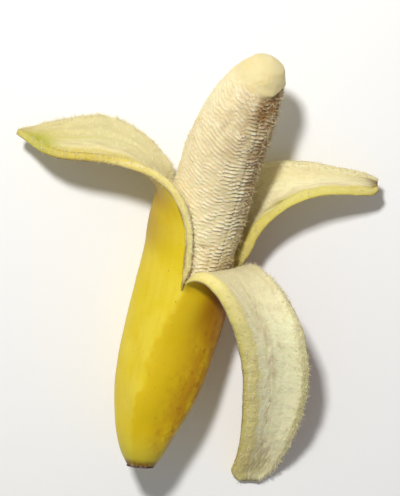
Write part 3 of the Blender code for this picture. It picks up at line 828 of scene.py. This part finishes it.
def fleshReliefTree(material):
    marks = ("slanted", "ridged", "bare", "mark", "grown")
    tree, values = startTree("fleshRelief", flesh["relief"], marks)
    addSums(tree, values, (("other seed", "ADD", "Seed", 9.0),))
    noises = {
        "slow": (0.09, 0.09, "Seed"), "quick": (0.32, 0.32, "Seed"), "stagger": (0.28, 0.05, "Seed"),
        "broken": (0.26, 0.26, "other seed"), "grain": (1.1, 1.1, "Seed"),
    }
    for name, (across, lengthwise, seed) in noises.items():
        values[name] = patternOn(tree, values["grown"], across, lengthwise, 2.0, values[seed])
    patchy = addNode(tree, "ShaderNodeMapRange", None,
                     {0: values["broken"], 1: 0.36, 2: 0.6, 3: 0.15, 4: 1.8})
    values["patchy"] = patchy.outputs[0]

    # A ridge rises steeply on its lower side and falls off gently, and breaks where the stagger steps
    addSums(tree, values, (
        ("wander", "MULTIPLY", "slow", 1.2),
        ("stagger", "MULTIPLY", "stagger", 6.0),
        ("stagger", "ROUND", "stagger"),
        ("wander", "MULTIPLY_ADD", "stagger", 0.37, "wander"),
        ("wander", "MULTIPLY_ADD", "quick", 0.4, "wander"),
        ("rows", "DIVIDE", "slanted", "Ridge spacing"),
        ("phase", "MULTIPLY_ADD", "wander", "Ridge waver", "rows"),
        ("saw", "FRACT", "phase"),
        ("rise", "DIVIDE", "saw", 0.25),
        ("rise", "MINIMUM", "rise", 1.0),
        ("fall", "SUBTRACT", 1.25, "saw"),
        ("crest", "MULTIPLY", "rise", "fall"),
        ("ridge", "SUBTRACT", "crest", 0.6),
        ("strength", "MULTIPLY", "ridged", "patchy"),
        ("ridge", "MULTIPLY", "ridge", "strength"),
        ("grain", "SUBTRACT", "grain", 0.5),
        ("grain", "MULTIPLY", "grain", "bare"),
        ("ridge", "MULTIPLY_ADD", "grain", 0.7, "ridge"),
        ("lump", "SUBTRACT", "slow", 0.5),
        ("chunk", "SUBTRACT", "broken", 0.5),
        ("lump", "MULTIPLY_ADD", "chunk", 1.1, "lump"),
        ("lump", "MULTIPLY", "lump", "bare"),
        ("lump", "MULTIPLY", "lump", "Lump height"),
        ("height", "MULTIPLY_ADD", "ridge", "Ridge height", "lump"),
        ("height", "SUBTRACT", "height", "mark"),
        ("distance", "MULTIPLY", "height", mm),
        # painted shade in the grooves and marks, and a painted highlight on the ridge crests, stored for the
        # material
        ("paintedGrooveShade", "SUBTRACT", "mark", "ridge"),
        ("paintedGrooveShade", "MAXIMUM", "paintedGrooveShade", 0.0),
        ("paintedCrestHighlight", "MAXIMUM", "ridge", 0.0),
    ))
    normal = addNode(tree, "GeometryNodeInputNormal")
    offset = addNode(tree, "ShaderNodeVectorMath", {"operation": "SCALE"},
                     {0: normal.outputs[0], "Scale": values["distance"]})
    shape = addNode(tree, "GeometryNodeSetPosition", None,
                    {"Geometry": values["Geometry"], "Offset": offset.outputs[0]})
    for name in ("paintedGrooveShade", "paintedCrestHighlight"):
        shape = addNode(tree, "GeometryNodeStoreNamedAttribute", {"data_type": "FLOAT", "domain": "POINT"},
                        {"Geometry": shape.outputs[0], "Name": name, "Value": values[name]})
    return endTree(tree, shape.outputs[0], material)


def runTree(piece, tree, values):   # gives the modifier its values, then keeps the result as a plain mesh
    modifier = piece.modifiers.new(tree.name, "NODES")
    modifier.node_group = tree
    for item in tree.interface.items_tree:
        if item.in_out == "INPUT" and item.name in values:
            modifier[item.identifier] = values[item.name]
    depsgraph = bpy.context.evaluated_depsgraph_get()
    evaluated = piece.evaluated_get(depsgraph)
    made = bpy.data.meshes.new_from_object(evaluated, preserve_all_data_layers=True, depsgraph=depsgraph)
    piece.modifiers.remove(modifier)
    places = np.empty(len(made.vertices) * 3)
    made.vertices.foreach_get("co", places)
    made.vertices.foreach_set("co", insideBox(places.reshape(-1, 3)).ravel())
    piece.data = made


def fleshValues(along, turns):   # what the tree and the material read at each point of the bare flesh
    below = smoothCurve(*flesh["capEdge"], turns) - along
    showing = smoothStep(*flesh["shownAt"], along)
    capped = smoothStep(0.0, flesh["capFade"], below)
    toRight = 0.5 + 0.5 * np.cos(np.radians(turns - flesh["ridgedMost"]))
    onLeft, more = flesh["ridgeStrength"]
    step = 1.0
    for turnSpan, belowSpan in zip(flesh["stepTurns"], flesh["stepBelowCap"]):
        step = step * smoothStep(*turnSpan, turns) * smoothStep(*belowSpan, below)
    fray = showing * capped
    for span in flesh["frayedTurns"]:
        fray = fray * smoothStep(*span, turns)
    tuft = np.exp(-((along - flesh["tuftAt"]) / flesh["tuftReach"]) ** 2)
    tuft = tuft * smoothStep(*flesh["tuftTurns"], turns) * (turns < flesh["tuftLastTurn"])
    # painted shade with some real browning on the right side, the upper flesh and a low patch; the step below
    # the cap adds painted shade under its edge
    drying = 0.0
    for strength, turnSpan, alongSpan in flesh["drying"]:
        drying = drying + strength * smoothStep(*turnSpan, turns) * smoothStep(*alongSpan, along)
    drying = drying * smoothStep(*flesh["shadeAndDryingTurns"], turns) * capped
    climb = np.minimum(turns + 90.0, 100.0) * (turns > -90.0)
    return {
        "slanted": along + flesh["ridgeSlant"] * climb,
        "ridged": showing * capped * (onLeft + more * toRight ** 2),
        "mark": (markDepth(along, turns) + flesh["capStep"] * step) * showing,
        "bare": showing * smoothStep(171.0, 166.0, along),
        "cap": 1.0 - capped,
        "fray": fray + 0.5 * tuft,
        "paintedShadeAndBrowning": np.minimum(0.6 * step + drying, 1.0),
    }


def buildFlesh(material):
    turns = np.linspace(-180.0, 180.0, flesh["columns"], endpoint=False)
    hidden = easedPlaces(fruit["hollowStart"], flesh["fineFrom"], flesh["hiddenRows"])
    middle = np.arange(flesh["fineFrom"] + flesh["rowStep"], flesh["tipFrom"], flesh["rowStep"])[:, None]
    angles = np.linspace(0.0, np.pi / 2.0, flesh["tipRows"] + 1)[:-1, None]
    tip = flesh["tipFrom"] + (fruit["axisLength"] - flesh["tipFrom"]) * np.sin(angles)
    along = np.concatenate([hidden, middle, tip])
    bare = smoothCurve(fruit["fleshAt"], fruit["fleshRadius"], along)
    inHollow = hollowRadius(np.minimum(along, fruit["splitAt"])) - fruit["fleshGap"]
    radius = np.where(along < fruit["splitAt"], inHollow, bare)
    grid = tubePoints(along + fruit["fleshGap"] * fromHollowEnd(along), turns, radius)
    start = tubePoints(fruit["hollowStart"] + fruit["fleshGap"], [0.0], 0.0)
    end = tubePoints(fruit["axisLength"], [0.0], 0.0)
    points = np.concatenate([grid.reshape(-1, 3), start, end])
    rows = np.arange(grid.size // 3).reshape(grid.shape[:2])
    faces = ringQuads(rows).tolist()
    faces.extend(fan(rows.size, rows[0]).tolist())
    faces.extend(fan(rows.size + 1, rows[-1])[:, ::-1].tolist())

    # Each value with those of the two poles; the patterns read the place on the straight, unopened fruit
    ends = {"slanted": (fruit["hollowStart"], fruit["axisLength"]), "cap": (0.0, 1.0)}
    attributes = {}
    for name, values in fleshValues(along, turns).items():
        full = np.broadcast_to(values, rows.shape)
        attributes[name] = np.append(full, ends.get(name, (0.0, 0.0)))
    angle = np.radians(turns)
    straight = np.broadcast_arrays(radius * np.sin(angle), radius * np.cos(angle), along)
    poles = [[0.0, 0.0, place] for place in ends["slanted"]]
    attributes["grown"] = np.concatenate([np.stack(straight, -1).reshape(-1, 3), poles])
    piece = makePiece("fleshBare", points, faces, [material], None, attributes)
    runTree(piece, fleshReliefTree(material), flesh["relief"])
    return piece


# Torn fibres: short bent strands that a tree of nodes scatters over the frayed places of a piece

strands = {
    "peel": {"Density": 2200000.0, "Length": 1.5, "Thickness": 0.11, "Seed": 5},
    "flesh": {"Density": 700000.0, "Length": 1.6, "Thickness": 0.13, "Seed": 8},
}


def strandTree(name, sizes, material):
    tree, values = startTree(name, sizes, ("fray",))
    values["way"] = addNode(tree, "GeometryNodeSplineParameter").outputs["Factor"]
    addSums(tree, values, (
        ("crowding", "MULTIPLY", "Density", "fray"),
        ("size seed", "ADD", "Seed", 3.0),
        ("thick", "DIVIDE", "Thickness", "Length"),
        ("taper", "MULTIPLY_ADD", "way", -0.8, 1.0),
        ("taper", "MULTIPLY", "taper", "thick"),
    ))
    scattered = addNode(tree, "GeometryNodeDistributePointsOnFaces", {"distribute_method": "RANDOM"}, {
        "Mesh": values["Geometry"], "Density": values["crowding"], "Seed": values["Seed"],
    })
    bent = addNode(tree, "GeometryNodeCurveQuadraticBezier", None, {
        "Resolution": 4, "Start": (0.0, 0.0, -0.15), "Middle": (0.1, 0.0, 0.5), "End": (0.75, 0.0, 0.7),
    })
    section = addNode(tree, "GeometryNodeCurvePrimitiveCircle", None, {"Resolution": 4, "Radius": 1.0})
    strand = addNode(tree, "GeometryNodeCurveToMesh", None, {
        "Curve": bent.outputs[0], "Profile Curve": section.outputs[0], "Scale": values["taper"],
        "Fill Caps": True,
    })
    spin = addNode(tree, "FunctionNodeRandomValue", {"data_type": "FLOAT_VECTOR"}, {
        0: (-0.5, -0.5, 0.0), 1: (0.5, 0.5, 6.2832), "Seed": values["Seed"],
    })
    turning = addNode(tree, "FunctionNodeEulerToRotation", None, {0: spin.outputs[0]})
    turned = addNode(tree, "FunctionNodeRotateRotation", {"rotation_space": "LOCAL"}, {
        "Rotation": scattered.outputs["Rotation"], "Rotate By": turning.outputs[0],
    })
    size = addNode(tree, "FunctionNodeRandomValue", {"data_type": "FLOAT"}, {
        2: 0.35, 3: 1.2, "Seed": values["size seed"],
    })
    values["size"] = size.outputs[1]
    addSums(tree, values, (("scale", "MULTIPLY", "size", "Length"), ("scale", "MULTIPLY", "scale", mm)))
    placed = addNode(tree, "GeometryNodeInstanceOnPoints", None, {
        "Points": scattered.outputs[0], "Instance": strand.outputs[0], "Rotation": turned.outputs[0],
        "Scale": values["scale"],
    })
    return endTree(tree, placed.outputs[0], material)


def buildStrands(name, onto, sizes, material):
    piece = addObject(name, onto.data)
    runTree(piece, strandTree(name, sizes, material), sizes)
    piece.data.name = name
    piece.data.shade_smooth()
    return piece

# Materials. Patterns read the place on the unopened fruit, in mm, so they run on over each split.

def paintLayers(tree, grown, colour, layers):
    # A layer is its tint, the size of its pattern in mm, how far that is drawn out along the fruit, the
    # noise at which it starts and is full, its strength, and the mark that says where it lies
    for tint, size, stretch, start, full, strength, mark in layers:
        noise = patternOn(tree, grown, 1.0 / size, 1.0 / (size * stretch), 3.0)
        amount = addNode(tree, "ShaderNodeMapRange", {"interpolation_type": "SMOOTHSTEP"},
                         {"Value": noise, "From Min": start, "From Max": full, "To Max": strength})
        held = amount.outputs[0]
        if mark:
            there = addNode(tree, "ShaderNodeAttribute", {"attribute_name": mark})
            both = addNode(tree, "ShaderNodeMath", {"operation": "MULTIPLY", "use_clamp": True},
                           {0: held, 1: there.outputs["Fac"]})
            held = both.outputs[0]
        mixed = addNode(tree, "ShaderNodeMix", {"data_type": "RGBA"}, {0: held, 6: colour, 7: tint})
        colour = mixed.outputs[2]
    return colour


def roughen(tree, grown, strength, distance, grains):
    # A bump from grains, each its size in mm and how far it is drawn out along the fruit
    height = 0.0
    for size, stretch in grains:
        noise = patternOn(tree, grown, 1.0 / size, 1.0 / (size * stretch), 2.0)
        height = addNode(tree, "ShaderNodeMath", {"operation": "ADD"}, {0: noise, 1: height}).outputs[0]
    settings = {"Strength": strength, "Distance": distance * mm, "Height": height}
    return addNode(tree, "ShaderNodeBump", None, settings).outputs[0]


def finishMaterial(name, look):
    # Builds a material from its look: its base colour, layers, grains and what the shader takes
    material = bpy.data.materials.new(name)
    material.use_nodes = True
    tree = material.node_tree
    shader = tree.nodes["Principled BSDF"]
    for key, value in look["shader"].items():
        shader.inputs[key].default_value = value
    grown = addNode(tree, "ShaderNodeAttribute", {"attribute_name": "grown"}).outputs["Vector"]
    colour = paintLayers(tree, grown, look["base"], look["layers"])
    tree.links.new(colour, shader.inputs["Base Color"])
    tree.links.new(roughen(tree, grown, *look["bump"]), shader.inputs["Normal"])
    return material


plain = (1.0, 1.0, 0.0, 0.01)   # a layer with no pattern of its own: it lies wherever its mark says
looks = {
    # Waxy rind: smooth with a soft sheen, faint veins and freckles; right of the top ridge a deeper gold and
    # brown that are painted shade and partly real bruising, and brown painted shade below the folds
    "ripe banana skin, waxy": {
        "base": "#DFC51E",
        "layers": (
            ("#E3CC38", 14.0, 1.0, 0.35, 0.65, 1.0, ""),
            ("#D9AE0C", 2.2, 8.0, 0.4, 0.75, 0.22, ""),
            # painted shade: deeper gold on the side right of the top ridge, which faces from the lamp
            ("#D6B306", *plain, 0.8, "goldenShadedSide"),
            # bruise brown, partly real bruising and partly painted shade on that side
            ("#AE7208", 5.0, 2.0, 0.24, 0.6, 0.8, "bruisedAndShaded"),
            # painted shade below the folds of the strips
            ("#9C640A", 6.0, 1.0, 0.0, 0.4, 0.9, "paintedFoldShade"),
            # finer bruise brown, partly real bruising and partly painted shade
            ("#8A5210", 2.0, 1.6, 0.5, 0.7, 0.5, "bruisedAndShaded"),
            ("#6E4519", 1.0, 1.0, 0.66, 0.76, 0.45, ""),
            ("#C2B637", *plain, 1.0, "moss"),
            ("#6E4519", 3.0, 2.0, 0.1, 0.5, 1.0, "brown"),
            ("#7A5A1E", 2.0, 3.0, 0.3, 0.6, 0.7, "rim"),
        ),
        "bump": (0.25, 0.2, ((0.9, 4.0), (0.35, 1.0))),
        "shader": {"Roughness": 0.45, "IOR": 1.42, "Specular IOR Level": 0.35},
    },
    # Torn pith: soft matt fibres, cream and mottled, yellower where the layer tore away at the edges
    "banana pith, torn and drying": {
        "base": "#DDD1A2",
        "layers": (
            ("#CFC393", 1.6, 5.0, 0.4, 0.7, 0.3, ""),
            ("#C6B98A", 4.0, 1.5, 0.42, 0.7, 0.35, ""),
            ("#EBE2BE", 2.0, 0.5, 0.52, 0.68, 0.5, ""),
            # partly painted light on pith faces turned from the lamp
            ("#FFF7CA", 4.0, 1.0, 0.15, 0.55, 1.0, "bright"),
            ("#EDDE88", 2.5, 6.0, 0.15, 0.45, 0.95, "band"),
            ("#DCC95C", *plain, 0.8, "rind"),
            ("#D4BE45", 3.0, 3.0, 0.15, 0.5, 0.9, "butter"),
            ("#BFAB86", 3.0, 2.0, 0.3, 0.6, 1.0, "mauve"),
            ("#B4B240", 3.0, 2.0, 0.1, 0.4, 1.0, "moss"),
            ("#5E4022", 3.0, 2.0, 0.1, 0.5, 1.0, "brown"),
            ("#7A5A1E", 2.0, 3.0, 0.3, 0.6, 0.8, "rim"),
        ),
        "bump": (0.6, 0.4, ((0.9, 2.0), (0.45, 1.0), (3.6, 0.28))),
        "shader": {
            "Roughness": 0.72, "IOR": 1.4, "Specular IOR Level": 0.3, "Subsurface Weight": 0.3,
            "Subsurface Radius": (0.004, 0.003, 0.0015), "Subsurface Scale": 1.0,
        },
    },
    # Blossom end: dried and corky, matt brown where the flower dropped off
    "blossom end, dried and corky": {
        "base": "#8A7060",
        "layers": (("#35241A", 1.0, 1.0, 0.35, 0.65, 1.0, ""),),
        "bump": (0.7, 0.4, ((1.0, 1.0), (0.4, 1.0))),
        "shader": {"Roughness": 0.85, "IOR": 1.4},
    },
    # Flesh: moist, starchy and slightly see-through; painted shade darkens its grooves, the step below its
    # smooth tip and its right side, with some real browning there, and a painted highlight lies on the ridge
    # crests
    "banana flesh, ripe and moist": {
        "base": "#E8D8A8",
        "layers": (
            # painted shade in the grooves, then a painted highlight on the crests
            ("#B3975A", *plain, 0.8, "paintedGrooveShade"),
            ("#FFF8DE", *plain, 1.5, "paintedCrestHighlight"),
            ("#F2E6C2", 5.0, 1.0, 0.4, 0.75, 0.4, ""),
            ("#DFD09C", *plain, 1.0, "cap"),
            ("#E0C67C", 7.0, 1.0, 0.42, 0.7, 0.6, "cap"),
            # painted shade with some real browning
            ("#8F6330", 4.0, 1.5, 0.2, 0.6, 0.85, "paintedShadeAndBrowning"),
        ),
        "bump": (0.35, 0.2, ((0.6, 1.0), (0.25, 1.0))),
        "shader": {
            "Roughness": 0.55, "IOR": 1.4, "Specular IOR Level": 0.35, "Subsurface Weight": 0.35,
            "Subsurface Radius": (0.005, 0.0026, 0.001), "Subsurface Scale": 0.6,
        },
    },
    # Fibre ends: thin, matt and a little uneven, as pale as what they tore from
    "pith fibres, dried": {
        "base": "#EFE6C4",
        "layers": (("#C9B98A", 1.0, 1.0, 0.35, 0.65, 0.5, ""),),
        "bump": (0.2, 0.1, ((0.5, 1.0),)),
        "shader": {"Roughness": 0.8, "IOR": 1.4},
    },
    "flesh shreds, moist": {
        "base": "#E9D7A8",
        "layers": (("#B79C6A", 1.0, 1.0, 0.35, 0.65, 0.5, ""),),
        "bump": (0.2, 0.1, ((0.5, 1.0),)),
        "shader": {"Roughness": 0.7, "IOR": 1.4},
    },
}


# Camera, light and floor

stage = {
    "cameraAt": (0.00065, 0.16724, 0.75161),
    "cameraTilt": -12.0,     # degrees about X; the camera looks down on the fruit
    "lens": 141.39,
    "keyWay": (-0.17, 0.54, 0.83),
    "keyFar": 0.9,
    "keySize": 0.09,
    "keyPower": 7.1,
    "fillStrength": 0.27,
    "floorColour": "#F6F5F3",
    "floorHalf": 1.5,
}


def buildStage():
    scene = bpy.context.scene
    scene.view_settings.view_transform = "Standard"
    cameraData = bpy.data.cameras.new("camera")
    cameraData.sensor_fit = "VERTICAL"
    cameraData.sensor_height = 36.0
    cameraData.lens = stage["lens"]
    camera = addObject("camera", cameraData)
    camera.location = stage["cameraAt"]
    camera.rotation_euler = (np.radians(stage["cameraTilt"]), 0.0, 0.0)
    scene.camera = camera

    way = unit(np.array(stage["keyWay"]))
    keyData = bpy.data.lights.new("key", "AREA")
    keyData.energy = stage["keyPower"]
    keyData.size = stage["keySize"]
    key = addObject("key", keyData)
    key.location = way * stage["keyFar"]
    key.rotation_euler = (np.arccos(way[2]), 0.0, np.arctan2(way[0], -way[1]))

    world = bpy.data.worlds.new("studio")
    world.use_nodes = True
    background = world.node_tree.nodes["Background"]
    background.inputs["Color"].default_value = linear("#FFFFFF")
    background.inputs["Strength"].default_value = stage["fillStrength"]
    scene.world = world

    half = stage["floorHalf"]
    mesh = bpy.data.meshes.new("floor")
    corners = [(-half, -half, 0.0), (half, -half, 0.0), (half, half, 0.0), (-half, half, 0.0)]
    mesh.from_pydata(corners, [], [[0, 1, 2, 3]])
    material = bpy.data.materials.new("painted studio floor, matt")   # a rolled wall paint, without sheen
    material.use_nodes = True
    shader = material.node_tree.nodes["Principled BSDF"]
    shader.inputs["Base Color"].default_value = linear(stage["floorColour"])
    shader.inputs["Roughness"].default_value = 0.9
    mesh.materials.append(material)
    floor = addObject("floor", mesh)


materials = {name: finishMaterial(name, look) for name, look in looks.items()}
print("materials:", len(materials))
buildStage()
print("stage: camera, light and floor are set")

peelFinishes = ("ripe banana skin, waxy", "banana pith, torn and drying", "blossom end, dried and corky")
peelPiece = buildPeel([materials[name] for name in peelFinishes])
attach(peelPiece, "root")
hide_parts("peel")
print("peel:", len(peelPiece.data.polygons), "faces")

fleshPiece = buildFlesh(materials["banana flesh, ripe and moist"])
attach(fleshPiece, "root")
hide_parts("flesh")
print("flesh:", len(fleshPiece.data.polygons), "faces")

peelFibres = buildStrands("peelFibres", peelPiece, strands["peel"], materials["pith fibres, dried"])
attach(peelFibres, "root")
fleshShreds = buildStrands("fleshShreds", fleshPiece, strands["flesh"], materials["flesh shreds, moist"])
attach(fleshShreds, "root")
print("fibres:", len(peelFibres.data.polygons), "and", len(fleshShreds.data.polygons), "faces")
